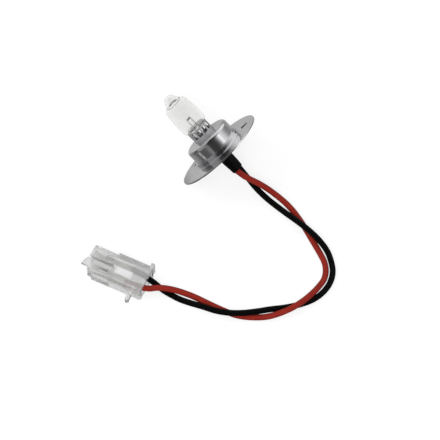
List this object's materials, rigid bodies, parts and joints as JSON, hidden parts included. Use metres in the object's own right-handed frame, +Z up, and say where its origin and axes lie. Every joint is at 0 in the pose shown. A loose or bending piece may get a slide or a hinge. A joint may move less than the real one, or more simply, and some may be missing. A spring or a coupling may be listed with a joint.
{
  "type": "analyzer halogen lamp",
  "caption": "Halogen capsule held in a slotted round flange by a windowed collar, on a short two-wire lead with a keyed plug.",
  "frame": {"origin": "on the surface it lies on, under the centre of the lamp's box (lead and plug left out)", "axes": "+Z up from the surface; +X level, the way the bulb points, with the lamp's axis in the XZ plane; +Y across the flange, towards the plug"},
  "size_m": [0.098, 0.0946, 0.036],
  "materials": {
    "polished_metal": "polished",
    "collar_metal": "satin",
    "quartz": "clear",
    "tungsten": "drawn wire",
    "foil": "thin foil",
    "pin_metal": "drawn",
    "cement": "matte",
    "bush_ceramic": "matte",
    "tinned_brass": "tinned",
    "copper": "stranded",
    "liner": "woven",
    "shrink_black": "shrunk",
    "red_insulation": "smooth",
    "black_insulation": "smooth",
    "clear_nylon": "moulded, translucent"
  },
  "bodies": {
    "root": {"mounting_flange": "polished_metal", "lamp_cup": "polished_metal", "windowed_collar": "collar_metal", "quartz_capsule": "quartz", "tungsten_filament": "tungsten", "filament_post_red": "tungsten", "filament_post_black": "tungsten", "sealing_foil_red": "foil", "sealing_foil_black": "foil", "base_pin_red": "pin_metal", "base_pin_black": "pin_metal", "ceramic_cement": "cement", "rear_bush": "bush_ceramic", "crimped_splice_red": "tinned_brass", "crimped_splice_black": "tinned_brass", "spliced_copper_red": "copper", "spliced_copper_black": "copper", "splice_liner_red": "liner", "splice_liner_black": "liner", "heat_shrink_sleeve": "shrink_black", "red_wire": "red_insulation", "black_wire": "black_insulation", "plug_housing": "clear_nylon", "terminal_red": "tinned_brass", "terminal_black": "tinned_brass", "stripped_end_red": "copper", "stripped_end_black": "copper"}
  },
  "joints": []
}
